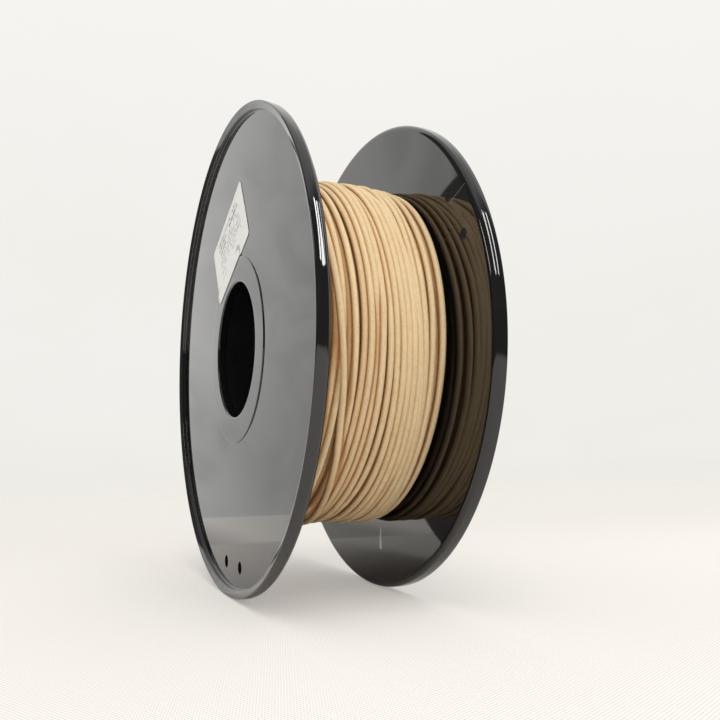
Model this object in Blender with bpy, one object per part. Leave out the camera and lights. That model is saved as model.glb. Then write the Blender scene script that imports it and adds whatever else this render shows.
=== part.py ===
"""Filament spool: two moulded flanges, a double-walled hub, a wound coil of
filament and a paper label. Metres, +Z up. The spool's axis runs along Y through
the origin, and the spool stands on its two rims."""

import math

import bmesh
import bpy

# ---- driving dimensions (metres) ----
FLANGE_R = 0.1000          # outside radius of both rims
WIDTH = 0.0695             # rim face to rim face
RIM_T = 0.0055             # thickness of the rim bead along the axis
RIM_IN_R = 0.0966          # inside radius of the rim bead on the outer side
RECESS = 0.0026            # depth of the outer face below the rim bead
BOSS_R = 0.0388            # radius of the raised ring round the bore
BOSS_H = 0.0004            # height of that ring above the outer face
BORE_R = 0.0280            # radius of the bore
HOLE_R = 0.0025            # radius of the filament-end holes
HOLE_PITCH = 0.0200        # centre to centre of one flange's pair of holes
HOLE_OFF = 0.0877          # distance of that pair's line from the axis
HOLES_A = -90.0            # where the pair sits on the -Y flange, degrees from +X
HOLES_B = 31.0             # and on the +Y flange
BORE_WALL = 0.0022         # wall of the hub's inner tube
DRUM_R = 0.0440            # outside radius of the hub's drum
DRUM_WALL = 0.0020
RIBS = 6
COIL_R = 0.0715            # mean outside radius of the wound filament
GAP = 0.0003               # clearance kept between pieces that touch
LABEL_L, LABEL_W, LABEL_T = 0.0490, 0.0295, 0.0002
LABEL_X, LABEL_Z, LABEL_TURN = -0.0110, 0.0466, 28.7
LABEL_CORNER = 0.0025
SEGS = 96                  # facets round the flanges, one of them centred at the bottom

HALF = WIDTH / 2
INNER = HALF - RIM_T       # distance of each flange's inner face from the centre

for old in list(bpy.data.objects):
    bpy.data.objects.remove(old, do_unlink=True)

scene = bpy.context.scene


def material(name, colour, roughness, metallic=0.0):
    mat = bpy.data.materials.new(name)
    mat.use_nodes = True
    bsdf = mat.node_tree.nodes["Principled BSDF"]
    bsdf.inputs["Base Color"].default_value = (*colour, 1.0)
    bsdf.inputs["Roughness"].default_value = roughness
    bsdf.inputs["Metallic"].default_value = metallic
    mat.diffuse_color = (*colour, 1.0)
    return mat


def finish(name, bm, mat, smooth=True):
    bmesh.ops.recalc_face_normals(bm, faces=bm.faces)
    if bm.calc_volume(signed=True) < 0:
        bmesh.ops.reverse_faces(bm, faces=bm.faces)
    mesh = bpy.data.meshes.new(name)
    bm.to_mesh(mesh)
    bm.free()
    if smooth:
        for poly in mesh.polygons:
            poly.use_smooth = True
        mesh.set_sharp_from_angle(angle=math.radians(35))
    obj = bpy.data.objects.new(name, mesh)
    scene.collection.objects.link(obj)
    mesh.materials.append(mat)
    return obj


def turned(profile, segs):
    """A closed (radius, y) outline turned about the Y axis."""
    bm = bmesh.new()
    rings = []
    for i in range(segs):
        a = 2 * math.pi * (i + 0.5) / segs
        rings.append([bm.verts.new((r * math.cos(a), y, r * math.sin(a))) for r, y in profile])
    n = len(profile)
    for i in range(segs):
        here, there = rings[i], rings[(i + 1) % segs]
        for k in range(n):
            m = (k + 1) % n
            bm.faces.new((here[k], here[m], there[m], there[k]))
    return bm


def cutter(name, pairs):
    """Round cutters along Y at these (x, z) places, joined as one helper."""
    bm = bmesh.new()
    for x, z in pairs:
        made = bmesh.ops.create_cone(
            bm, cap_ends=True, segments=20, radius1=HOLE_R, radius2=HOLE_R, depth=0.030
        )
        for v in made["verts"]:
            px, py, pz = v.co
            v.co = (x + px, -pz, z + py)
    bmesh.ops.recalc_face_normals(bm, faces=bm.faces)
    if bm.calc_volume(signed=True) < 0:
        bmesh.ops.reverse_faces(bm, faces=bm.faces)
    mesh = bpy.data.meshes.new(name)
    bm.to_mesh(mesh)
    bm.free()
    obj = bpy.data.objects.new(name, mesh)
    scene.collection.objects.link(obj)
    obj.hide_render = True
    obj.display_type = "WIRE"
    return obj


def flange(name, side, mat, holes_at):
    """side -1 is the flange at -Y, +1 the one at +Y. Depths run in from the rim face."""
    face = RECESS
    boss = RECESS - BOSS_H
    section = [
        (BORE_R, RIM_T),
        (BORE_R, boss + 0.0005),
        (BORE_R + 0.00015, boss + 0.00015),
        (BORE_R + 0.0005, boss),
        (BOSS_R - 0.0003, boss),
        (BOSS_R, boss + 0.0001),
        (BOSS_R + 0.0001, face),
        (RIM_IN_R - 0.0009, face),
        (RIM_IN_R - 0.00025, face - 0.00025),
        (RIM_IN_R, face - 0.0009),
        (RIM_IN_R + 0.0003, 0.0010),
        (RIM_IN_R + 0.0006, 0.0004),
        (RIM_IN_R + 0.0012, 0.0),
        (FLANGE_R - 0.0013, 0.0),
        (FLANGE_R - 0.0006, 0.0003),
        (FLANGE_R - 0.00015, 0.0009),
        (FLANGE_R, 0.0017),
        (FLANGE_R, RIM_T - 0.0020),
        (FLANGE_R - 0.00025, RIM_T - 0.0010),
        (FLANGE_R - 0.0010, RIM_T - 0.00025),
        (FLANGE_R - 0.0020, RIM_T),
    ]
    obj = finish(name, turned([(r, side * (HALF - d)) for r, d in section], SEGS), mat)
    a = math.radians(holes_at)
    out, across = (math.cos(a), math.sin(a)), (-math.sin(a), math.cos(a))
    places = [
        (
            HOLE_OFF * out[0] + s * HOLE_PITCH / 2 * across[0],
            HOLE_OFF * out[1] + s * HOLE_PITCH / 2 * across[1],
        )
        for s in (-1, 1)
    ]
    tool = cutter(name + "_holes", places)
    tool.location = (0.0, side * HALF, 0.0)
    cut = obj.modifiers.new("holes", "BOOLEAN")
    cut.operation = "DIFFERENCE"
    cut.solver = "EXACT"
    cut.object = tool
    return obj


def hub(mat):
    """Bore tube and drum joined by ribs, one extrusion along Y."""
    half = INNER - GAP
    radii = (BORE_R, BORE_R + BORE_WALL, DRUM_R - DRUM_WALL, DRUM_R)
    segs = 96
    bm = bmesh.new()
    grid = [
        [
            bm.verts.new((r * math.cos(2 * math.pi * (i + 0.5) / segs), -half,
                          r * math.sin(2 * math.pi * (i + 0.5) / segs)))
            for r in radii
        ]
        for i in range(segs)
    ]
    for i in range(segs):
        here, there = grid[i], grid[(i + 1) % segs]
        for k in range(3):
            if k == 1 and i % (segs // RIBS) != 0:
                continue
            bm.faces.new((here[k], here[k + 1], there[k + 1], there[k]))
    made = bmesh.ops.extrude_face_region(bm, geom=list(bm.faces), use_keep_orig=True)
    moved = [g for g in made["geom"] if isinstance(g, bmesh.types.BMVert)]
    bmesh.ops.translate(bm, verts=moved, vec=(0.0, 2 * half, 0.0))
    return finish("hub_core", bm, mat)


def coil(mat):
    """The wound filament as one turned ring, a little fuller in the middle."""
    y = INNER - GAP
    inside = DRUM_R + GAP
    outer = [
        (COIL_R - 0.0021, -y),
        (COIL_R - 0.0004, -y + 0.0016),
        (COIL_R + 0.0004, -0.018),
        (COIL_R, 0.0),
        (COIL_R + 0.0011, 0.016),
        (COIL_R + 0.0013, 0.022),
        (COIL_R - 0.0002, y - 0.0016),
        (COIL_R - 0.0021, y),
    ]
    return finish("filament_coil", turned(outer + [(inside, y), (inside, -y)], 96), mat)


def label(mat):
    """A thin rounded rectangle that follows the step of the raised ring below it."""
    a, b, c = LABEL_L / 2, LABEL_W / 2, LABEL_CORNER
    edge = (0.0, 0.5, 0.8)
    us = [-a + c * t for t in edge] + [-(a - c) + 2 * (a - c) * i / 16 for i in range(17)]
    us += [a - c * t for t in reversed(edge)]
    vs = [-b + c * t for t in edge] + [-(b - c) + 2 * (b - c) * i / 10 for i in range(11)]
    vs += [b - c * t for t in reversed(edge)]
    turn = math.radians(LABEL_TURN)
    base = -HALF + RECESS - GAP
    step = BOSS_H

    def place(u, v):
        du, dv = max(0.0, (abs(u) - (a - c)) / c), max(0.0, (abs(v) - (b - c)) / c)
        if du > 0 and dv > 0:
            pu = du * math.sqrt(1 - dv * dv / 2)
            pv = dv * math.sqrt(1 - du * du / 2)
            u = math.copysign(a - c + c * pu, u)
            v = math.copysign(b - c + c * pv, v)
        x = LABEL_X + u * math.cos(turn) - v * math.sin(turn)
        z = LABEL_Z + u * math.sin(turn) + v * math.cos(turn)
        t = min(1.0, max(0.0, (BOSS_R + 0.0032 - math.hypot(x, z)) / 0.0028))
        return x, base - step * t * t * (3 - 2 * t), z

    bm = bmesh.new()
    low = [[bm.verts.new(place(u, v)) for v in vs] for u in us]
    top = [[bm.verts.new((w.co.x, w.co.y - LABEL_T, w.co.z)) for w in row] for row in low]
    nu, nv = len(us), len(vs)
    for i in range(nu - 1):
        for j in range(nv - 1):
            bm.faces.new((low[i][j], low[i + 1][j], low[i + 1][j + 1], low[i][j + 1]))
            bm.faces.new((top[i][j], top[i][j + 1], top[i + 1][j + 1], top[i + 1][j]))
    rim = [(i, 0) for i in range(nu)] + [(nu - 1, j) for j in range(1, nv)]
    rim += [(i, nv - 1) for i in range(nu - 2, -1, -1)] + [(0, j) for j in range(nv - 2, 0, -1)]
    for k, (i, j) in enumerate(rim):
        m, n = rim[(k + 1) % len(rim)]
        bm.faces.new((low[i][j], low[m][n], top[m][n], top[i][j]))
    return finish("label", bm, mat)


black = material("black_plastic", (0.012, 0.012, 0.013), 0.16)
black_b = material("black_plastic_far", (0.012, 0.012, 0.013), 0.16)
core = material("hub_plastic", (0.014, 0.014, 0.015), 0.30)
wood = material("wood_filament", (0.62, 0.41, 0.20), 0.72)
paper = material("label_paper", (0.86, 0.86, 0.85), 0.55)

flange("flange_front", -1, black, HOLES_A)
flange("flange_back", 1, black_b, HOLES_B)
hub(core)
coil(wood)
label(paper)
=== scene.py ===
import math

import bmesh
import bpy
import numpy as np
from mathutils import Matrix, Vector


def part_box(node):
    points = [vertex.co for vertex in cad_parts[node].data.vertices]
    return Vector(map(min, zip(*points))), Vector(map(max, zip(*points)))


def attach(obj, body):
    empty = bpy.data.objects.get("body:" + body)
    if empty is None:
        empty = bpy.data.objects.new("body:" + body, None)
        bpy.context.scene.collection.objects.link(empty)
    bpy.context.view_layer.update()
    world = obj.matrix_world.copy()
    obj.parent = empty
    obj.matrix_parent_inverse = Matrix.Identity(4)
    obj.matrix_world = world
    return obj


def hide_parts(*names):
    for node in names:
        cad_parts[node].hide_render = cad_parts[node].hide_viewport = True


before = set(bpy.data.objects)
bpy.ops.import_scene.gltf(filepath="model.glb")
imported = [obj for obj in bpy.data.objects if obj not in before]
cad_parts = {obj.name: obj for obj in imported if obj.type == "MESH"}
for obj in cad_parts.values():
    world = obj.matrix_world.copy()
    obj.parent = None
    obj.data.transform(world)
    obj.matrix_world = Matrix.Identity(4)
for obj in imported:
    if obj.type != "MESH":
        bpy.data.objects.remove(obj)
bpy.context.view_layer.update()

front_lo, front_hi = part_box("flange_front")
back_lo, back_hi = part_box("flange_back")
coil_lo, coil_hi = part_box("filament_coil")
hub_lo, hub_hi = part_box("hub_core")

scene = bpy.context.scene
scene.view_settings.view_transform = "Standard"
scene.view_settings.look = "None"
scene.view_settings.exposure = 0.0
scene.view_settings.gamma = 1.0

# ---------------------------------------------------------------- sizes (m)
HALF = front_lo.y * -1.0                 # rim face from the centre
OUT_R = min(front_hi.x, -front_lo.z) - 0.00001
RIM_T = 0.0055
RIM_IN = 0.0966
RECESS = 0.0026
BOSS_R = 0.0388
BOSS_H = 0.0004
BORE_R = 0.0280
HOLE_R = 0.0025
INNER = HALF - RIM_T                     # inner face of each flange from the centre
FLOOR_Z = front_lo.z


# ---------------------------------------------------------------- node helpers
class Nodes:
    """Small wrapper so that the shader graphs below read in order."""

    def __init__(self, tree):
        self.tree = tree

    def new(self, kind, **values):
        node = self.tree.nodes.new(kind)
        inputs = values.pop("inputs", {})
        for key, value in values.items():
            setattr(node, key, value)
        for key, value in inputs.items():
            if isinstance(value, bpy.types.NodeSocket):
                self.tree.links.new(value, node.inputs[key])
            else:
                node.inputs[key].default_value = value
        return node

    def link(self, a, b):
        self.tree.links.new(a, b)

    def math(self, op, a, b=0.0, c=0.0, clamp=False):
        node = self.new("ShaderNodeMath", operation=op, use_clamp=clamp)
        for k, v in enumerate((a, b, c)):
            if isinstance(v, bpy.types.NodeSocket):
                self.link(v, node.inputs[k])
            else:
                node.inputs[k].default_value = v
        return node.outputs[0]

    def mix(self, fac, a, b, blend="MIX"):
        node = self.new("ShaderNodeMix", data_type="RGBA", blend_type=blend)
        for k, v in ((0, fac), (6, a), (7, b)):
            if isinstance(v, bpy.types.NodeSocket):
                self.link(v, node.inputs[k])
            else:
                node.inputs[k].default_value = v if k == 0 else (*v, 1.0)
        return node.outputs[2]

    def ramp(self, fac, stops, interpolation="LINEAR"):
        node = self.new("ShaderNodeValToRGB")
        node.color_ramp.interpolation = interpolation
        while len(node.color_ramp.elements) < len(stops):
            node.color_ramp.elements.new(0.5)
        for e, (pos, col) in zip(node.color_ramp.elements, stops):
            e.position = pos
            e.color = (*col, 1.0) if len(col) == 3 else col
        self.link(fac, node.inputs[0])
        return node.outputs[0]

    def noise(self, vector, scale, detail=3.0, rough=0.5, dist=0.0, dims="3D"):
        node = self.new("ShaderNodeTexNoise", noise_dimensions=dims)
        node.inputs["Scale"].default_value = scale
        node.inputs["Detail"].default_value = detail
        node.inputs["Roughness"].default_value = rough
        node.inputs["Distortion"].default_value = dist
        if vector is not None:
            self.link(vector, node.inputs["Vector"])
        return node

    def scaled(self, vector, scale, location=(0, 0, 0), rotation=(0, 0, 0)):
        node = self.new("ShaderNodeMapping")
        node.inputs["Scale"].default_value = scale
        node.inputs["Location"].default_value = location
        node.inputs["Rotation"].default_value = rotation
        self.link(vector, node.inputs["Vector"])
        return node.outputs[0]


def new_material(name):
    mat = bpy.data.materials.new(name)
    mat.use_nodes = True
    tree = mat.node_tree
    tree.nodes.clear()
    n = Nodes(tree)
    out = n.new("ShaderNodeOutputMaterial")
    bsdf = n.new("ShaderNodeBsdfPrincipled")
    n.link(bsdf.outputs[0], out.inputs["Surface"])
    return mat, n, bsdf, out


def stroke(n, obj, p0, p1, w0, w1, soft=0.00012):
    """1 on a straight stroke in the x-z plane that tapers from width w0 to w1, 0 off it."""
    sep = n.new("ShaderNodeSeparateXYZ")
    n.link(obj, sep.inputs[0])
    length = math.hypot(p1[0] - p0[0], p1[1] - p0[1])
    ux, uz = (p1[0] - p0[0]) / length, (p1[1] - p0[1]) / length
    dx = n.math("SUBTRACT", sep.outputs[0], p0[0])
    dz = n.math("SUBTRACT", sep.outputs[2], p0[1])
    t = n.math("ADD", n.math("MULTIPLY", dx, ux), n.math("MULTIPLY", dz, uz))
    off = n.math("ABSOLUTE", n.math("SUBTRACT", n.math("MULTIPLY", dx, uz), n.math("MULTIPLY", dz, ux)))
    half = n.math("MULTIPLY_ADD", t, (w1 - w0) / 2 / length, w0 / 2)
    inside = n.math("DIVIDE", n.math("SUBTRACT", half, off), soft, clamp=True)
    ends = n.math("MULTIPLY", n.math("GREATER_THAN", t, 0.0), n.math("LESS_THAN", t, length))
    front = n.math("LESS_THAN", sep.outputs[1], INNER + 0.0002)
    return n.math("MULTIPLY", n.math("MULTIPLY", inside, ends), front)


def smoothstep(n, value, low, high):
    node = n.new("ShaderNodeMapRange", interpolation_type="SMOOTHSTEP")
    node.inputs["From Min"].default_value = low
    node.inputs["From Max"].default_value = high
    n.link(value, node.inputs["Value"])
    return node.outputs[0]


def plastic(name, seed, base=(0.0045, 0.0045, 0.0048), rough=0.035, scratches=1.0, strokes=()):
    """Glossy black moulded plastic: smudges, fine scratches, dust and a very slight unevenness."""
    mat, n, bsdf, _ = new_material(name)
    obj = n.new("ShaderNodeTexCoord").outputs["Object"]
    moved = n.scaled(obj, (1, 1, 1), location=(seed * 1.7, seed * 0.9, seed * 2.3))
    smudge = n.noise(moved, 26.0, 5.0, 0.6, 0.8).outputs["Fac"]
    fine = n.noise(moved, 420.0, 3.0, 0.6).outputs["Fac"]
    # hairline scratches in three directions
    marks = []
    for k, (turn, stretch) in enumerate(((0.35, 900.0), (-0.9, 1100.0), (1.35, 800.0))):
        v = n.scaled(moved, (1, 1, 1), rotation=(0, turn, 0))
        v = n.scaled(v, (stretch, 40.0, 14.0), location=(k * 3.1, 0, k * 1.3))
        line = n.noise(v, 1.0, 1.0, 0.4).outputs["Fac"]
        broken = n.noise(n.scaled(moved, (1, 1, 1), location=(k, 4 + k, 2)), 30.0, 2.0).outputs["Fac"]
        line = n.math("MULTIPLY", n.math("GREATER_THAN", line, 0.755), n.math("GREATER_THAN", broken, 0.58))
        marks.append(line)
    scratch = n.math("MAXIMUM", n.math("MAXIMUM", marks[0], marks[1]), marks[2])
    # dust specks
    vor = n.new("ShaderNodeTexVoronoi", feature="F1")
    vor.inputs["Scale"].default_value = 330.0
    n.link(moved, vor.inputs["Vector"])
    dust = n.math("LESS_THAN", vor.outputs["Distance"], 0.055)
    dust_on = n.math("GREATER_THAN", n.noise(moved, 160.0, 1.0).outputs["Fac"], 0.62)
    dust = n.math("MULTIPLY", dust, dust_on)
    col = n.mix(smudge, tuple(c * 0.8 for c in base), tuple(c * 1.5 for c in base))
    col = n.mix(n.math("MULTIPLY", scratch, 0.08 * scratches), col, (0.20, 0.20, 0.20))
    col = n.mix(n.math("MULTIPLY", dust, 0.30), col, (0.32, 0.31, 0.29))
    for p0, p1, w0, w1, tone, amount in strokes:
        col = n.mix(n.math("MULTIPLY", stroke(n, obj, p0, p1, w0, w1), amount), col, tone)
    n.link(col, bsdf.inputs["Base Color"])
    r = n.math("MULTIPLY_ADD", n.ramp(smudge, [(0.40, (0, 0, 0)), (0.80, (1, 1, 1))]), 0.030, rough)
    r = n.math("ADD", r, n.math("MULTIPLY", scratch, 0.08 * scratches))
    r = n.math("ADD", r, n.math("MULTIPLY", dust, 0.4))
    for p0, p1, w0, w1, tone, amount in strokes:
        r = n.math("ADD", r, n.math("MULTIPLY", stroke(n, obj, p0, p1, w0, w1), 0.5 * amount))
    n.link(r, bsdf.inputs["Roughness"])
    bsdf.inputs["IOR"].default_value = 1.66
    bump = n.new("ShaderNodeBump")
    bump.inputs["Strength"].default_value = 0.05
    bump.inputs["Distance"].default_value = 0.0006
    wave = n.noise(moved, 14.0, 2.0, 0.4).outputs["Fac"]
    height = n.math("ADD", n.math("MULTIPLY", wave, 0.6), n.math("MULTIPLY", fine, 0.0012))
    height = n.math("SUBTRACT", height, n.math("MULTIPLY", scratch, 0.01 * scratches))
    n.link(height, bump.inputs["Height"])
    n.link(bump.outputs[0], bsdf.inputs["Normal"])
    return mat


def wood_filament():
    """Matt wood-filled filament: pale tan with fine fibres, specks and slow changes along its length, with painted
    shade down the sides of each turn and in the grooves between turns.
    """
    mat, n, bsdf, _ = new_material("wood_filament")
    along = n.new("ShaderNodeAttribute", attribute_name="along").outputs["Fac"]
    around = n.new("ShaderNodeAttribute", attribute_name="around").outputs["Fac"]
    bury = n.new("ShaderNodeAttribute", attribute_name="bury").outputs["Fac"]
    comb = n.new("ShaderNodeCombineXYZ")
    n.link(n.math("MULTIPLY", along, 60.0), comb.inputs[0])
    n.link(n.math("MULTIPLY", n.math("COSINE", around), 1.6), comb.inputs[1])
    n.link(n.math("MULTIPLY", n.math("SINE", around), 1.6), comb.inputs[2])
    uvw = comb.outputs[0]
    obj = n.new("ShaderNodeTexCoord").outputs["Object"]
    slow = n.noise(n.scaled(uvw, (0.22, 0.05, 0.05)), 1.0, 4.0, 0.6).outputs["Fac"]
    fibre = n.noise(n.scaled(uvw, (2.4, 5.0, 5.0)), 1.0, 5.0, 0.65).outputs["Fac"]
    grain = n.noise(obj, 2600.0, 3.0, 0.7).outputs["Fac"]
    col = n.ramp(slow, [(0.30, (0.70, 0.517, 0.295)), (0.52, (0.778, 0.596, 0.355)), (0.75, (0.838, 0.665, 0.414))])
    col = n.mix(n.math("MULTIPLY", n.ramp(fibre, [(0.30, (1, 1, 1)), (0.50, (0, 0, 0))]), 0.26), col, (0.52, 0.32, 0.15))
    col = n.mix(n.math("MULTIPLY", n.ramp(fibre, [(0.58, (0, 0, 0)), (0.80, (1, 1, 1))]), 0.25), col, (0.92, 0.78, 0.54))
    vor = n.new("ShaderNodeTexVoronoi", feature="F1")
    vor.inputs["Scale"].default_value = 1500.0
    n.link(obj, vor.inputs["Vector"])
    speck = n.math("LESS_THAN", vor.outputs["Distance"], 0.22)
    pick = n.math("GREATER_THAN", n.noise(obj, 900.0, 1.0).outputs["Fac"], 0.62)
    speck = n.math("MULTIPLY", speck, pick)
    col = n.mix(n.math("MULTIPLY", speck, 0.40), col, (0.24, 0.12, 0.05))
    # painted shade: darker and browner down the sides of each turn and in the grooves between turns, by how far a point
    # lies below the nearby crests (the bury attribute)
    groove_shade = n.ramp(bury, [(0.05, (0, 0, 0)), (0.20, (0.24, 0.24, 0.24)), (0.42, (0.92, 0.92, 0.92)), (0.66, (0.80, 0.80, 0.80)), (1.0, (0.66, 0.66, 0.66))])
    col = n.mix(groove_shade, col, n.mix(1.0, col, (0.57, 0.365, 0.205), blend="MULTIPLY"))
    mottle = n.noise(obj, 760.0, 3.0, 0.6, 0.4).outputs["Fac"]
    col = n.mix(n.math("MULTIPLY", n.ramp(mottle, [(0.36, (1, 1, 1)), (0.50, (0, 0, 0))]), 0.13), col, (0.46, 0.28, 0.13))
    col = n.mix(n.math("MULTIPLY", n.ramp(mottle, [(0.52, (0, 0, 0)), (0.66, (1, 1, 1))]), 0.11), col, (0.92, 0.76, 0.50))
    n.link(col, bsdf.inputs["Base Color"])
    r = n.math("MULTIPLY_ADD", grain, 0.18, 0.60)
    n.link(r, bsdf.inputs["Roughness"])
    bsdf.inputs["IOR"].default_value = 1.40
    bump = n.new("ShaderNodeBump")
    bump.inputs["Strength"].default_value = 0.6
    bump.inputs["Distance"].default_value = 0.00013
    n.link(n.math("ADD", n.math("MULTIPLY", grain, 0.6), n.math("MULTIPLY", fibre, 0.7)), bump.inputs["Height"])
    n.link(bump.outputs[0], bsdf.inputs["Normal"])
    return mat


# ---------------------------------------------------------------- mesh helpers
def mesh_object(name, verts, faces, mat, smooth=True):
    mesh = bpy.data.meshes.new(name)
    verts = np.asarray(verts, np.float32)
    faces = np.asarray(faces, np.int32)
    mesh.vertices.add(len(verts))
    mesh.vertices.foreach_set("co", verts.ravel())
    k = faces.shape[1]
    mesh.loops.add(faces.size)
    mesh.loops.foreach_set("vertex_index", faces.ravel())
    mesh.polygons.add(len(faces))
    mesh.polygons.foreach_set("loop_start", np.arange(0, faces.size, k, dtype=np.int32))
    mesh.polygons.foreach_set("use_smooth", np.full(len(faces), smooth))
    mesh.update(calc_edges=True)
    mesh.validate()
    obj = bpy.data.objects.new(name, mesh)
    scene.collection.objects.link(obj)
    mesh.materials.append(mat)
    return obj


def arc(cx, cy, r, a0, a1, steps):
    """Points on an arc of the section, degrees, both ends included."""
    return [
        (cx + r * math.cos(math.radians(a0 + (a1 - a0) * i / steps)), cy + r * math.sin(math.radians(a0 + (a1 - a0) * i / steps)))
        for i in range(steps + 1)
    ]


def turned(name, section, segs, mat, side=1):
    """Closed (radius, y) outline turned about Y; side -1 mirrors it to the other end."""
    pts = np.array(section, float)
    a = 2 * np.pi * (np.arange(segs) + 0.5) / segs
    n = len(pts)
    v = np.zeros((segs, n, 3))
    v[:, :, 0] = np.cos(a)[:, None] * pts[None, :, 0]
    v[:, :, 1] = side * pts[None, :, 1]
    v[:, :, 2] = np.sin(a)[:, None] * pts[None, :, 0]
    i = np.arange(segs)[:, None]
    k = np.arange(n)[None, :]
    here, nxt = i * n, ((i + 1) % segs) * n
    m = (k + 1) % n
    quads = np.stack([here + k + 0 * i, here + m, nxt + m, nxt + k + 0 * i], -1).reshape(-1, 4)
    obj = mesh_object(name, v.reshape(-1, 3), quads, mat)
    bm = bmesh.new()
    bm.from_mesh(obj.data)
    bmesh.ops.recalc_face_normals(bm, faces=bm.faces)
    bm.to_mesh(obj.data)
    bm.free()
    return obj


# ---------------------------------------------------------------- flanges
def flange_section():
    """(radius, y) outline with y out from the centre of the spool."""
    H = HALF
    face, boss = H - RECESS, H - RECESS + BOSS_H
    s = []
    s += [(BORE_R, INNER)]
    s += [(BORE_R, boss - 0.0009)]
    s += arc(BORE_R + 0.0007, boss - 0.0007, 0.0007, 180, 90, 6)
    s += [(BORE_R + 0.0010, boss), (BOSS_R - 0.0006, boss)]
    s += arc(BOSS_R - 0.0002, boss - 0.0002, 0.0002, 90, 10, 4)
    s += [(BOSS_R + 0.00005, face + 0.00005), (BOSS_R + 0.0002, face), (BOSS_R + 0.0006, face)]
    f = 0.0005
    s += [(RIM_IN - 0.012, face), (RIM_IN - f - 0.0004, face)]
    s += arc(RIM_IN - f, face + f, f, -90, 0, 6)
    s += [(RIM_IN + 0.0001, H - 0.0013)]
    s += arc(RIM_IN + 0.0006, H - 0.0012, 0.0005, 175, 102, 5)
    s += [(OUT_R - 0.00075, H - 0.00004)]
    s += arc(OUT_R - 0.00055, H - 0.0005, 0.0005, 96, 8, 7)
    s += [(OUT_R - 0.00002, H - 0.0012), (OUT_R, H - 0.0019), (OUT_R - 0.00003, H - 0.0026), (OUT_R - 0.00012, H - 0.0032)]
    r2 = 0.0021
    s += arc(OUT_R - 0.00012 - r2, INNER + r2, r2, -2, -90, 12)
    s += [(OUT_R - r2 - 0.0006, INNER), (OUT_R - r2 - 0.004, INNER), (BORE_R + 0.004, INNER)]
    return s


def holes(name, side, centre_deg):
    """Cutter for one flange's pair of filament-end holes."""
    a = math.radians(centre_deg)
    bm = bmesh.new()
    for s in (-1, 1):
        x = 0.0877 * math.cos(a) - s * 0.010 * math.sin(a)
        z = 0.0877 * math.sin(a) + s * 0.010 * math.cos(a)
        made = bmesh.ops.create_cone(bm, cap_ends=True, segments=40, radius1=HOLE_R, radius2=HOLE_R, depth=0.02)
        for v in made["verts"]:
            px, py, pz = v.co
            v.co = (x + px, side * HALF - pz, z + py)
    bmesh.ops.recalc_face_normals(bm, faces=bm.faces)
    mesh = bpy.data.meshes.new(name)
    bm.to_mesh(mesh)
    bm.free()
    obj = bpy.data.objects.new(name, mesh)
    scene.collection.objects.link(obj)
    return obj


def build_flange(name, node, side, holes_at, mat):
    obj = turned(name, flange_section(), 384, mat, side)
    tool = holes(name + "_tool", side, holes_at)
    m = obj.modifiers.new("holes", "BOOLEAN")
    m.operation, m.solver, m.object = "DIFFERENCE", "EXACT", tool
    dg = bpy.context.evaluated_depsgraph_get()
    mesh = bpy.data.meshes.new_from_object(obj.evaluated_get(dg))
    obj.modifiers.clear()
    obj.data = mesh
    bpy.data.objects.remove(tool, do_unlink=True)
    mesh.materials.append(walls[side])
    a = math.radians(holes_at)
    places = [(0.0877 * math.cos(a) - s * 0.010 * math.sin(a), 0.0877 * math.sin(a) + s * 0.010 * math.cos(a)) for s in (-1, 1)]
    for p in mesh.polygons:
        p.use_smooth = True
        c = p.center
        if abs(p.normal.y) < 0.3 and min(math.hypot(c.x - px, c.z - pz) for px, pz in places) < HOLE_R * 1.05:
            p.material_index = 1
    mesh.set_sharp_from_angle(angle=math.radians(40))
    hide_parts(node)
    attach(obj, "root")
    return obj


black_front = plastic("black_gloss_front", 1.0)
# marks painted on the far flange's inner face only: a pale grey hairline and a black one along one slant, a near-white
# streak widening towards the rim, and a thin dark grey line
black_back = plastic("black_gloss_back", 5.0, strokes=(
    ((0.0848, 0.0566), (0.0705, 0.0505), 0.00030, 0.00045, (0.20, 0.195, 0.19), 0.55),
    ((0.0815, 0.0448), (0.0626, 0.0350), 0.00045, 0.00035, (0.0, 0.0, 0.0), 0.9),
    ((0.0102, -0.0741), (0.0102, -0.0837), 0.0006, 0.0024, (0.98, 0.97, 0.94), 1.0),
    ((-0.0020, -0.0794), (0.0067, -0.0831), 0.00025, 0.00025, (0.10, 0.10, 0.10), 0.5),
))
# the hole walls are rough with little gloss; their colour is painted shade in the front flange, a little darker than
# the plastic, and painted light in the back flange, a warm dark brown several times lighter than it
walls = {}
for end, tone in ((-1, 0.003), (1, 0.022)):
    walls[end] = plastic("black_hole_wall_" + ("front" if end < 0 else "back"), 3.0, base=(tone, tone * 0.85, tone * 0.65), rough=0.55, scratches=0.2)
    walls[end].node_tree.nodes["Principled BSDF"].inputs["Specular IOR Level"].default_value = 0.12
black_back.node_tree.nodes["Principled BSDF"].inputs["IOR"].default_value = 1.61
black_hub = plastic("black_hub", 9.0, rough=0.22, scratches=0.4)
build_flange("spool_flange_front", "flange_front", -1, -90.0, black_front)
build_flange("spool_flange_back", "flange_back", 1, 31.0, black_back)

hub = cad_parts["hub_core"]
hub.data.materials.clear()
hub.data.materials.append(black_hub)
for p in hub.data.polygons:
    p.use_smooth = True
hub.data.set_sharp_from_angle(angle=math.radians(35))


# ---------------------------------------------------------------- filament
FIL_D = 2.66e-3
START = math.radians(200.0)
WIND_SEED = 23
BASE_R = 0.0651
FULLER = 0.0011
# turns, direction, common wander, own wander, most waves round, most waves across
LAYERS = ((21, 1, 0.00025, 0.00010, 3, 1.2), (20, -1, 0.0010, 0.00035, 3, 1.2), (20, 1, 0.0026, 0.0012, 3, 1.9), (2, -1, 0.0020, 0.0012, 2, 1.0))
SL = 240
COIL_TOP = coil_hi.z


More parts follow.
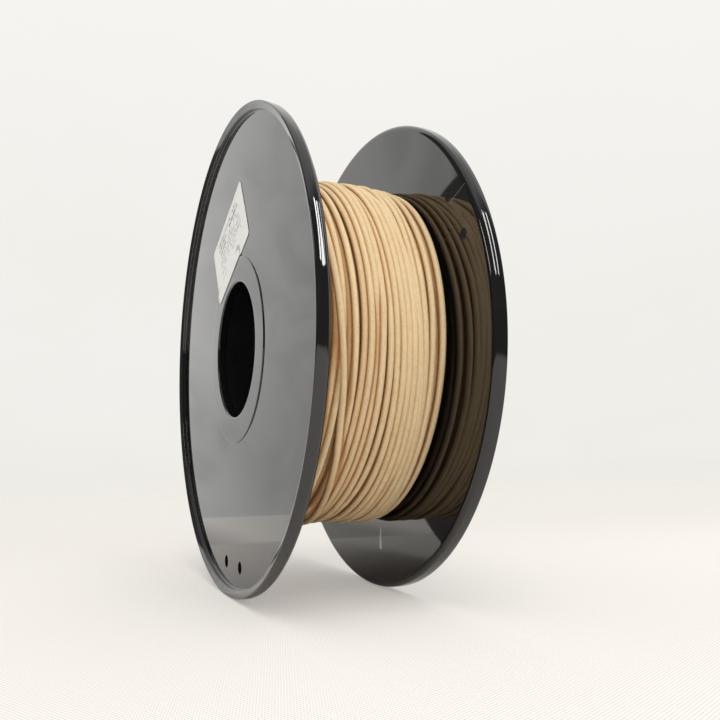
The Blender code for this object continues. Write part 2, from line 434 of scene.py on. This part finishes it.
def smooth_noise(rng, count, size, width):
    """Smooth unit noise, count rows of this size, with features about width samples long."""
    pad = int(width * 4)
    x = rng.standard_normal((count, size + 2 * pad))
    k = np.arange(-pad, pad + 1)
    g = np.exp(-0.5 * (k / width) ** 2)
    g /= math.sqrt((g * g).sum())
    return np.stack([np.convolve(r, g, mode="same")[pad : pad + size] for r in x])


def waves(rng, th, y, room, count, k_most, f_most):
    """A smooth function of angle and place along the axis, so that neighbouring turns wander together."""
    out = np.zeros_like(y)
    for _ in range(count):
        k = rng.integers(1, k_most + 1)
        f = rng.uniform(0.25, f_most)
        out += np.sin(k * th + rng.uniform(0, 6.283) + 2 * np.pi * f * y / (2 * room)) / math.sqrt(count / 2)
    return out


def eased(values, width):
    """Gaussian smoothing along the strand."""
    pad = int(width * 4)
    k = np.arange(-pad, pad + 1)
    g = np.exp(-0.5 * (k / width) ** 2)
    g /= g.sum()
    return np.convolve(np.pad(values, pad, mode="edge"), g, mode="valid")


def under_r(y):
    """Radius of the lowest modelled turns: the winding is a little fuller towards the far flange."""
    t = np.clip((y + 0.004) / 0.018, 0, 1)
    return BASE_R + FULLER * t * t * (3 - 2 * t)


def wind(seed=WIND_SEED):
    """Centre line of the outer turns as (turn, slice) arrays of place along the axis and radius, in metres.
    Each turn is laid on whatever is already wound, so it climbs where it crosses or crowds an earlier one."""
    rng = np.random.default_rng(seed)
    d = FIL_D
    touch = 0.90 * d
    room = (INNER - 0.0003) - d / 2
    ys = []
    for turns, direction, amp_a, amp_b, k_most, f_most in LAYERS:
        count = turns * SL
        t = np.arange(count) / count
        th = 2 * np.pi * np.arange(count) / SL
        y = direction * room * (2 * t - 1)
        held = 1 - (y / room) ** 6
        y = y + held * (amp_a * waves(rng, th, y, room, 8, k_most, f_most) + amp_b * smooth_noise(rng, 1, count, SL * 0.16)[0])
        ys.append(y)
    y = np.clip(eased(np.concatenate(ys), SL * 0.035), -room, room)
    T = len(y) // SL
    Y = y.reshape(T, SL).copy()
    # turns of one layer crowd together but don't pass through each other
    first = 0
    for turns, direction, *_ in LAYERS:
        part = slice(first, first + turns)
        for _ in range(60):
            L = Y[part] * direction
            short = np.maximum(0.0, 0.82 * d - np.diff(L, axis=0)) * 0.5
            L[:-1] -= short
            L[1:] += short
            Y[part] = np.clip(L, -room, room) * direction
            Y[part] = eased(Y[part].reshape(-1), SL * 0.010).reshape(turns, SL)
        first += turns
    # the outermost turns against the far flange part from their neighbours near the top
    angle = np.degrees(2 * np.pi * np.arange(SL) / SL + START) % 360
    apart = np.exp(-0.5 * ((angle - 58) / 17.0) ** 2)[None, :]
    outer = (np.arange(T) >= T - LAYERS[-1][0] - LAYERS[-2][0])[:, None]
    near_end = np.clip((Y - (room - 4.2 * d)) / (2.0 * d), 0, 1) * (Y < room - 0.55 * d) * outer
    Y -= 0.0011 * apart * near_end
    Y = eased(Y.reshape(-1), SL * 0.012).reshape(T, SL)
    R = under_r(Y)
    for _ in range(3):
        for k in range(1, T):
            dy = np.abs(Y[:k] - Y[k][None, :])
            rest = np.where(dy < touch, R[:k] + np.sqrt(np.maximum(0.0, touch * touch - dy * dy)), 0.0)
            R[k] = np.maximum(under_r(Y[k]), rest.max(0))
        R = eased(R.reshape(-1), SL * 0.020).reshape(T, SL)
    print("turns", T, "outer crest mm", np.round((np.percentile(R[-LAYERS[-1][0]:], [5, 25, 50, 75, 95, 100]) + d / 2) * 1000, 2))
    return Y, np.minimum(R, COIL_TOP - d / 2 - 0.00001)


def strand_mesh(Y, R, mat):
    """One continuous tube along the wound centre line, with its length, angle and depth kept for the shader."""
    T, S = Y.shape
    rng = np.random.default_rng(3)
    keep = T * S - int(S * 0.12)
    slot = np.tile(np.arange(S), T)[:keep]
    ang = 2 * np.pi * np.arange(keep) / S + START
    y, r = Y.reshape(-1)[:keep], R.reshape(-1)[:keep]
    sides = 16
    c = np.stack([r * np.cos(ang), y, r * np.sin(ang)], 1)
    seg = np.linalg.norm(np.diff(c, axis=0), axis=1)
    length = np.concatenate([[0], np.cumsum(seg)])
    er = np.stack([np.cos(ang), np.zeros_like(ang), np.sin(ang)], 1)
    tangent = np.gradient(c, axis=0)
    tangent /= np.linalg.norm(tangent, axis=1)[:, None]
    side = np.cross(tangent, er)
    side /= np.linalg.norm(side, axis=1)[:, None]
    up = np.cross(side, tangent)
    rad = FIL_D / 2 * (1 + 0.010 * smooth_noise(rng, 1, len(y), 5)[0])
    phi = 2 * np.pi * np.arange(sides) / sides
    v = c[:, None, :] + rad[:, None, None] * (
        np.cos(phi)[None, :, None] * up[:, None, :] + np.sin(phi)[None, :, None] * side[:, None, :]
    )
    n = len(c)
    vr = np.hypot(v[:, :, 0], v[:, :, 2])
    vy = v[:, :, 1]
    # depth of each point below the nearby crests, which the wood material turns into painted shade
    crest = np.full(vr.shape, -1.0)
    for k in range(T):
        yk, rk = Y[k][slot][:, None], R[k][slot][:, None]
        crest = np.maximum(crest, rk + FIL_D / 2 - 0.55 * np.maximum(0.0, np.abs(yk - vy) - FIL_D * 0.5))
    bury = np.clip((crest - vr) / FIL_D, 0, 1.5)
    i = np.arange(n - 1)[:, None]
    k = np.arange(sides)[None, :]
    m = (k + 1) % sides
    quads = np.stack([i * sides + k, i * sides + m, (i + 1) * sides + m, (i + 1) * sides + k], -1).reshape(-1, 4)
    obj = mesh_object("filament_strand", v.reshape(-1, 3), quads, mat)
    bm = bmesh.new()
    bm.from_mesh(obj.data)
    bm.verts.ensure_lookup_table()
    for first in (0, (n - 1) * sides):
        ring = [bm.verts[first + q] for q in range(sides)]
        bm.faces.new(ring)
    bmesh.ops.recalc_face_normals(bm, faces=bm.faces)
    bm.to_mesh(obj.data)
    bm.free()
    for name, values in (("along", np.repeat(length, sides)), ("around", np.tile(phi, n)), ("bury", bury.reshape(-1))):
        at = obj.data.attributes.new(name, "FLOAT", "POINT")
        at.data.foreach_set("value", values.astype(np.float32))
    return obj, float(length[-1])


wood = wood_filament()
Yw, Rw = wind()
strand, strand_len = strand_mesh(Yw, Rw, wood)
print("outer turns: strand length", round(strand_len, 2), "m, radius", round(float(Rw.min()) * 1000, 2), round(float(Rw.max()) * 1000 + FIL_D * 500, 2))
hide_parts("filament_coil")
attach(strand, "root")
yb = INNER - 0.0003
core = turned("filament_under", [(0.0443, yb), (0.0443, -yb), (0.0646, -yb), (0.0646, -0.004), (0.0646 + FULLER / 2, 0.005), (0.0646 + FULLER, 0.014), (0.0646 + FULLER, yb)], 128, wood)
# painted shade: the whole under layer is set as lying deep below the crests, so the wood material darkens and browns it
at = core.data.attributes.new("bury", "FLOAT", "POINT")
at.data.foreach_set("value", np.full(len(core.data.vertices), 1.2, np.float32))
core.data.set_sharp_from_angle(angle=math.radians(40))
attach(core, "root")


# ---------------------------------------------------------------- label
LABEL_L, LABEL_W = 0.0490, 0.0295
LX, LZ, LTURN = -0.0110, 0.0466, math.radians(28.7)


def paper_material():
    mat, n, bsdf, _ = new_material("label_paper")
    u = n.new("ShaderNodeAttribute", attribute_name="lu").outputs["Fac"]
    v = n.new("ShaderNodeAttribute", attribute_name="lv").outputs["Fac"]
    comb = n.new("ShaderNodeCombineXYZ")
    n.link(u, comb.inputs[0])
    n.link(v, comb.inputs[1])
    uv = comb.outputs[0]
    fibre = n.noise(uv, 900.0, 3.0, 0.6).outputs["Fac"]
    tone = n.noise(uv, 60.0, 2.0, 0.5).outputs["Fac"]
    col = n.mix(tone, (0.77, 0.77, 0.755), (0.83, 0.83, 0.815))
    # rows of short grey dashes instead of print, densest along one long side
    row_gap = 0.00250
    vr = n.math("DIVIDE", v, row_gap)
    row = n.math("FLOOR", vr)
    inrow = n.math("SUBTRACT", vr, row)
    line = n.math("MULTIPLY", n.math("GREATER_THAN", inrow, 0.22), n.math("LESS_THAN", inrow, 0.76))
    cell = n.new("ShaderNodeCombineXYZ")
    n.link(n.math("MULTIPLY", u, 1050.0), cell.inputs[0])
    n.link(n.math("MULTIPLY", row, 7.31), cell.inputs[1])
    dash = n.noise(cell.outputs[0], 1.0, 0.0).outputs["Fac"]
    word = n.new("ShaderNodeCombineXYZ")
    n.link(n.math("MULTIPLY", u, 230.0), word.inputs[0])
    n.link(n.math("MULTIPLY", row, 3.77), word.inputs[1])
    gap = n.noise(word.outputs[0], 1.0, 0.0).outputs["Fac"]
    ink = n.math("MULTIPLY", n.math("GREATER_THAN", dash, 0.46), n.math("GREATER_THAN", gap, 0.38))
    ink = n.math("MULTIPLY", ink, line)
    long_in = n.math("LESS_THAN", n.math("ABSOLUTE", n.math("SUBTRACT", u, 0.0005)), 0.0165)
    wide_in = n.math("MULTIPLY", n.math("GREATER_THAN", v, -0.0052), n.math("LESS_THAN", v, 0.0128))
    strength = n.math("MULTIPLY_ADD", smoothstep(n, v, 0.001, 0.010), 0.38, 0.50)
    ink = n.math("MULTIPLY", n.math("MULTIPLY", ink, n.math("MULTIPLY", long_in, wide_in)), strength)
    # painted shade: a grey line for a crease near one end and a grey crescent for a dent beside an edge
    crease_shade = n.math("LESS_THAN", n.math("ABSOLUTE", n.math("ADD", v, n.math("MULTIPLY_ADD", u, 0.07, 0.0085))), 0.00028)
    crease_shade = n.math("MULTIPLY", crease_shade, n.math("LESS_THAN", u, -0.0070))
    def disc(cu, cv, rad):
        du, dv = n.math("SUBTRACT", u, cu), n.math("SUBTRACT", v, cv)
        return n.math("LESS_THAN", n.math("SQRT", n.math("ADD", n.math("MULTIPLY", du, du), n.math("MULTIPLY", dv, dv))), rad)
    dent_shade = n.math("MULTIPLY", disc(0.0078, -0.0112, 0.0036), n.math("SUBTRACT", 1.0, disc(0.0062, -0.0128, 0.0034)))
    col = n.mix(ink, col, (0.10, 0.10, 0.11))
    col = n.mix(n.math("MULTIPLY", crease_shade, 0.55), col, (0.22, 0.22, 0.22))
    col = n.mix(n.math("MULTIPLY", dent_shade, 0.55), col, (0.25, 0.25, 0.25))
    n.link(col, bsdf.inputs["Base Color"])
    bsdf.inputs["Roughness"].default_value = 0.5
    bump = n.new("ShaderNodeBump")
    bump.inputs["Strength"].default_value = 0.2
    bump.inputs["Distance"].default_value = 0.00005
    n.link(fibre, bump.inputs["Height"])
    n.link(bump.outputs[0], bsdf.inputs["Normal"])
    return mat


def build_label():
    nu, nv = (90, 54)
    a, b, c = LABEL_L / 2, LABEL_W / 2, 0.0022
    us = np.linspace(-1, 1, nu)
    vs = np.linspace(-1, 1, nv)
    verts_top, lu, lv = [], [], []
    face_y, boss_y = -(HALF - RECESS), -(HALF - RECESS + BOSS_H)
    for u0 in us:
        for v0 in vs:
            u, v = u0 * a, v0 * b
            du, dv = max(0.0, (abs(u) - (a - c)) / c), max(0.0, (abs(v) - (b - c)) / c)
            if du > 0 and dv > 0:
                pu, pv = du * math.sqrt(1 - dv * dv / 2), dv * math.sqrt(1 - du * du / 2)
                u = math.copysign(a - c + c * pu, u)
                v = math.copysign(b - c + c * pv, v)
            x = LX + u * math.cos(LTURN) - v * math.sin(LTURN)
            z = LZ + u * math.sin(LTURN) + v * math.cos(LTURN)
            q = math.hypot(x, z)
            t = min(1.0, max(0.0, (BOSS_R + 0.0011 - q) / 0.0013))
            y = face_y + (boss_y - face_y) * t * t * (3 - 2 * t) - 0.00006
            # lifted edge beside the bore and a slightly raised corner
            e = min(a - abs(u), b - abs(v))
            lift = max(0.0, 1 - e / 0.0016) ** 2 * 0.00010
            y -= lift
            verts_top.append((x, y, z))
            lu.append(u)
            lv.append(v)
    top = np.array(verts_top)
    low = top.copy()
    low[:, 1] += 0.00005
    verts = np.concatenate([top - np.array([0, 0.00007, 0]), low])
    n0 = nu * nv
    i = np.arange(nu - 1)[:, None]
    j = np.arange(nv - 1)[None, :]
    q0 = np.stack([i * nv + j, (i + 1) * nv + j, (i + 1) * nv + j + 1, i * nv + j + 1], -1).reshape(-1, 4)
    q1 = q0[:, ::-1] + n0
    rim = [(p, 0) for p in range(nu)] + [(nu - 1, p) for p in range(1, nv)]
    rim += [(p, nv - 1) for p in range(nu - 2, -1, -1)] + [(0, p) for p in range(nv - 2, 0, -1)]
    ids = [p * nv + q for p, q in rim]
    sides = [(ids[k], ids[(k + 1) % len(ids)], ids[(k + 1) % len(ids)] + n0, ids[k] + n0) for k in range(len(ids))]
    obj = mesh_object("spool_label", verts, np.concatenate([q0, q1, np.array(sides)]), paper_material())
    bm = bmesh.new()
    bm.from_mesh(obj.data)
    bmesh.ops.recalc_face_normals(bm, faces=bm.faces)
    bm.to_mesh(obj.data)
    bm.free()
    for name, values in (("lu", lu), ("lv", lv)):
        at = obj.data.attributes.new(name, "FLOAT", "POINT")
        at.data.foreach_set("value", np.array(values + values, np.float32))
    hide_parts("label")
    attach(obj, "root")
    return obj


build_label()


# ---------------------------------------------------------------- stage
def floor_material():
    """Pale embossed cloth that runs out into the plain backdrop, with two painted glows: a band seen only in
    reflections, and a glow seen only by the camera that lightens the shadows.
    """
    mat, n, bsdf, out = new_material("studio_floor")
    obj = n.new("ShaderNodeTexCoord").outputs["Object"]
    sep = n.new("ShaderNodeSeparateXYZ")
    n.link(obj, sep.inputs[0])
    x, y = sep.outputs[0], sep.outputs[1]
    big = n.noise(obj, 5.0, 3.0, 0.5).outputs["Fac"]
    turned_uv = n.scaled(obj, (1, 1, 1), rotation=(0, 0, 0.32))
    ts = n.new("ShaderNodeSeparateXYZ")
    n.link(turned_uv, ts.inputs[0])
    k = 2 * math.pi / 0.00150
    dots = n.math("MULTIPLY", n.math("SINE", n.math("MULTIPLY", ts.outputs[0], k)), n.math("SINE", n.math("MULTIPLY", ts.outputs[1], k)))
    dots = n.math("MULTIPLY_ADD", dots, 0.5, 0.5)
    fuzz = n.noise(obj, 900.0, 2.0, 0.6).outputs["Fac"]
    col = n.mix(big, (0.885, 0.860, 0.825), (0.905, 0.885, 0.855))
    col = n.mix(n.math("MULTIPLY", n.ramp(dots, [(0.50, (0, 0, 0)), (0.90, (1, 1, 1))]), 0.85), col, (0.56, 0.505, 0.455))
    col = n.mix(n.math("MULTIPLY", fuzz, 0.10), col, (0.70, 0.66, 0.62))
    plainer = n.math("MULTIPLY", smoothstep(n, x, 0.02, -0.24), n.math("SUBTRACT", 1.0, n.new("ShaderNodeLightPath").outputs["Is Glossy Ray"]))
    col = n.mix(n.math("MULTIPLY", plainer, 0.75), col, n.mix(1.0, col, (0.80, 0.80, 0.80), blend="MULTIPLY"))
    n.link(col, bsdf.inputs["Base Color"])
    bsdf.inputs["Roughness"].default_value = 0.95
    bsdf.inputs["Specular IOR Level"].default_value = 0.05
    bump = n.new("ShaderNodeBump")
    bump.inputs["Strength"].default_value = 0.3
    bump.inputs["Distance"].default_value = 0.0003
    n.link(n.math("SUBTRACT", n.math("MULTIPLY", fuzz, 0.4), dots), bump.inputs["Height"])
    n.link(bump.outputs[0], bsdf.inputs["Normal"])
    # painted reflection: left of the spool the floor glows for glossy rays only, so the flanges mirror a bright band;
    # the glow is weaker near the spool, as painted shade from it
    glossy = n.new("ShaderNodeLightPath").outputs["Is Glossy Ray"]
    strip = n.math("MULTIPLY", smoothstep(n, x, -0.150, -0.165), smoothstep(n, y, 0.03, -0.02))
    mirror_only_glow = n.new("ShaderNodeEmission")
    mirror_only_glow.inputs["Color"].default_value = (1.0, 0.955, 0.90, 1)
    mirror_only_glow.inputs["Strength"].default_value = 1.28
    n.link(n.math("MULTIPLY_ADD", smoothstep(n, y, -0.050, -0.105), 0.60, 0.68), mirror_only_glow.inputs["Strength"])
    lit = n.new("ShaderNodeMixShader")
    n.link(n.math("MULTIPLY", glossy, strip), lit.inputs[0])
    n.link(bsdf.outputs[0], lit.inputs[1])
    n.link(mirror_only_glow.outputs[0], lit.inputs[2])
    # where the cloth turns into the backdrop: crisp on the left, soft behind, and far out all round
    crisp = smoothstep(n, x, -0.318, -0.330)
    soft = smoothstep(n, x, -0.16, -0.42)
    side = smoothstep(n, y, -0.03, 0.03)
    mirrored = n.math("ADD", n.math("MULTIPLY", crisp, n.math("SUBTRACT", 1.0, side)), n.math("MULTIPLY", soft, side))
    plain = smoothstep(n, x, -0.02, -1.10)
    behind = n.math("ADD", n.math("MULTIPLY", glossy, mirrored), n.math("MULTIPLY", n.math("SUBTRACT", 1.0, glossy), plain))
    dist = n.math("SQRT", n.math("ADD", n.math("MULTIPLY", x, x), n.math("MULTIPLY", y, y)))
    away = n.math("MAXIMUM", behind, smoothstep(n, dist, 0.9, 2.6))
    # painted light: for camera rays about a third of the floor's look is an emitted glow, dots included, which lightens
    # the shadows under and beside the spool
    camera_only_glow = n.new("ShaderNodeEmission")
    camera_only_glow.inputs["Color"].default_value = (0.93, 0.895, 0.85, 1)
    n.link(n.mix(n.math("MULTIPLY", n.ramp(dots, [(0.50, (0, 0, 0)), (0.90, (1, 1, 1))]), 0.8), (0.990, 0.962, 0.920), (0.78, 0.74, 0.695)), camera_only_glow.inputs["Color"])
    soft_lit = n.new("ShaderNodeMixShader")
    n.link(n.math("MULTIPLY", n.new("ShaderNodeLightPath").outputs["Is Camera Ray"], 0.34), soft_lit.inputs[0])
    n.link(lit.outputs[0], soft_lit.inputs[1])
    n.link(camera_only_glow.outputs[0], soft_lit.inputs[2])
    clear = n.new("ShaderNodeBsdfTransparent")
    final = n.new("ShaderNodeMixShader")
    n.link(away, final.inputs[0])
    n.link(soft_lit.outputs[0], final.inputs[1])
    n.link(clear.outputs[0], final.inputs[2])
    n.link(final.outputs[0], out.inputs["Surface"])
    return mat


def build_floor():
    s = 6.0
    obj = mesh_object("studio_floor", [(-s, -s, FLOOR_Z), (s, -s, FLOOR_Z), (s, s, FLOOR_Z), (-s, s, FLOOR_Z)], [(0, 1, 2, 3)], floor_material(), smooth=False)


build_floor()


def area(name, direction, distance, width, height, radiance, diffuse=False):
    """A strip of light towards this direction from the spool; radiance is what a mirror shows of it."""
    d = Vector(direction).normalized()
    data = bpy.data.lights.new(name, "AREA")
    data.shape = "RECTANGLE"
    data.size, data.size_y = width, height
    data.energy = radiance * math.pi * width * height
    obj = bpy.data.objects.new(name, data)
    scene.collection.objects.link(obj)
    tall = Vector((-d.z, 0.0, d.x)).normalized()
    wide = tall.cross(d)
    obj.matrix_world = Matrix((
        (wide.x, tall.x, d.x, d.x * distance),
        (wide.y, tall.y, d.y, d.y * distance),
        (wide.z, tall.z, d.z, d.z * distance),
        (0, 0, 0, 1),
    ))
    obj.visible_camera = False
    obj.visible_diffuse = diffuse
    return obj


def sun(name, direction, irradiance, angle, colour=(1, 1, 1)):
    data = bpy.data.lights.new(name, "SUN")
    data.energy = irradiance
    data.angle = math.radians(angle)
    data.color = colour
    obj = bpy.data.objects.new(name, data)
    scene.collection.objects.link(obj)
    d = Vector(direction).normalized()
    obj.rotation_mode = "QUATERNION"
    obj.rotation_quaternion = (-d).to_track_quat("-Z", "Y")
    obj.visible_glossy = False
    return obj


area("strip_right", (0.635, 0.345, 0.690), 1.3, 0.085, 0.64, 17.0)
area("strip_mullion", (0.605, 0.455, 0.655), 1.3, 0.070, 0.64, 14.0)
area("strip_left", (0.25, -0.80, 0.54), 1.3, 0.10, 0.55, 10.0)
sun("key", (0.42, -0.10, 0.90), 1.45, 42, (1.0, 0.990, 0.965))
sun("front", (0.86, -0.16, 0.42), 0.50, 50, (1.0, 0.985, 0.955))

WALL_EDGE = math.radians(31.0)


def build_world():
    world = bpy.data.worlds.new("studio")
    scene.world = world
    world.use_nodes = True
    tree = world.node_tree
    tree.nodes.clear()
    n = Nodes(tree)
    out = n.new("ShaderNodeOutputWorld")
    vec = n.new("ShaderNodeTexCoord").outputs["Generated"]
    sep = n.new("ShaderNodeSeparateXYZ")
    n.link(vec, sep.inputs[0])
    x, y, z = sep.outputs
    flat = n.math("SQRT", n.math("ADD", n.math("MULTIPLY", x, x), n.math("MULTIPLY", y, y)))
    ux, uy = n.math("DIVIDE", x, flat), n.math("DIVIDE", y, flat)
    # the lit backdrop spans from just left of the spool round to well behind it
    left = n.math("ADD", n.math("MULTIPLY", ux, -math.sin(WALL_EDGE)), n.math("MULTIPLY", uy, math.cos(WALL_EDGE)))
    far = n.math("ADD", n.math("MULTIPLY", ux, -math.sin(math.radians(110))), n.math("MULTIPLY", uy, -math.cos(math.radians(110))))
    wall = n.math("MULTIPLY", smoothstep(n, left, -0.012, 0.012), smoothstep(n, far, -0.15, 0.15))
    folds = n.noise(vec, 3.2, 4.0, 0.55, 0.6).outputs["Fac"]
    wall_tone = n.mix(folds, (1.00, 0.995, 0.965), (1.22, 1.21, 1.175))
    creases = n.noise(n.scaled(vec, (1.0, 1.0, 0.55)), 13.0, 5.0, 0.6, 1.6).outputs["Fac"]
    wall_tone = n.mix(n.ramp(creases, [(0.38, (0.32, 0.32, 0.32)), (0.50, (0, 0, 0))]), wall_tone, (0.72, 0.715, 0.70))
    wall_tone = n.mix(n.ramp(creases, [(0.56, (0, 0, 0)), (0.70, (0.30, 0.30, 0.30))]), wall_tone, (1.42, 1.40, 1.36))
    wall_tone = n.mix(smoothstep(n, z, -0.03, 0.13), n.mix(1.0, wall_tone, (0.88, 0.88, 0.88), blend="MULTIPLY"), n.mix(1.0, wall_tone, (1.05, 1.05, 1.05), blend="MULTIPLY"))
    room_tone = n.mix(n.noise(vec, 2.0, 3.0, 0.5).outputs["Fac"], (0.05, 0.05, 0.05), (0.22, 0.215, 0.205))
    seen = n.mix(wall, room_tone, wall_tone)
    seen = n.mix(smoothstep(n, z, 0.80, 0.93), seen, (0.75, 0.75, 0.74))
    # behind the object, as the camera sees it
    faint = n.noise(n.scaled(vec, (1.0, 1.0, 2.2)), 2.6, 5.0, 0.6, 0.8).outputs["Fac"]
    cam_col = n.ramp(n.math("MULTIPLY_ADD", z, 0.5, 0.5), [(0.44, (0.825, 0.800, 0.745)), (0.52, (0.862, 0.850, 0.812)), (0.60, (0.868, 0.860, 0.820)), (0.75, (0.925, 0.908, 0.875))])
    cam_col = n.mix(n.math("MULTIPLY", n.ramp(faint, [(0.35, (0, 0, 0)), (0.70, (1, 1, 1))]), 0.30), cam_col, (0.93, 0.925, 0.90))
    light = n.new("ShaderNodeLightPath")
    shade = n.new("ShaderNodeBackground")
    shade.inputs["Color"].default_value = (0.78, 0.77, 0.755, 1)
    gloss = n.new("ShaderNodeBackground")
    n.link(seen, gloss.inputs["Color"])
    view = n.new("ShaderNodeBackground")
    n.link(cam_col, view.inputs["Color"])
    first = n.new("ShaderNodeMixShader")
    n.link(light.outputs["Is Glossy Ray"], first.inputs[0])
    n.link(shade.outputs[0], first.inputs[1])
    n.link(gloss.outputs[0], first.inputs[2])
    second = n.new("ShaderNodeMixShader")
    n.link(light.outputs["Is Camera Ray"], second.inputs[0])
    n.link(first.outputs[0], second.inputs[1])
    n.link(view.outputs[0], second.inputs[2])
    n.link(second.outputs[0], out.inputs["Surface"])


build_world()

# ---------------------------------------------------------------- camera
cam_data = bpy.data.cameras.new("camera")
cam = bpy.data.objects.new("camera", cam_data)
scene.collection.objects.link(cam)
cam_data.sensor_width = 36.0
cam_data.lens = 829.015 / 720 * 36.0
right = Vector((0.407199712, 0.913339145, 0.0))
look = Vector((-0.90940366, 0.40544513, 0.09273202))
up = right.cross(look).normalized()
look = look.normalized()
cam.matrix_world = Matrix((
    (right.x, up.x, -look.x, 0.33366),
    (right.y, up.y, -look.y, -0.1245),
    (right.z, up.z, -look.z, -0.03629),
    (0, 0, 0, 1),
))
cam_data.clip_start = 0.01
cam_data.clip_end = 50
scene.camera = cam
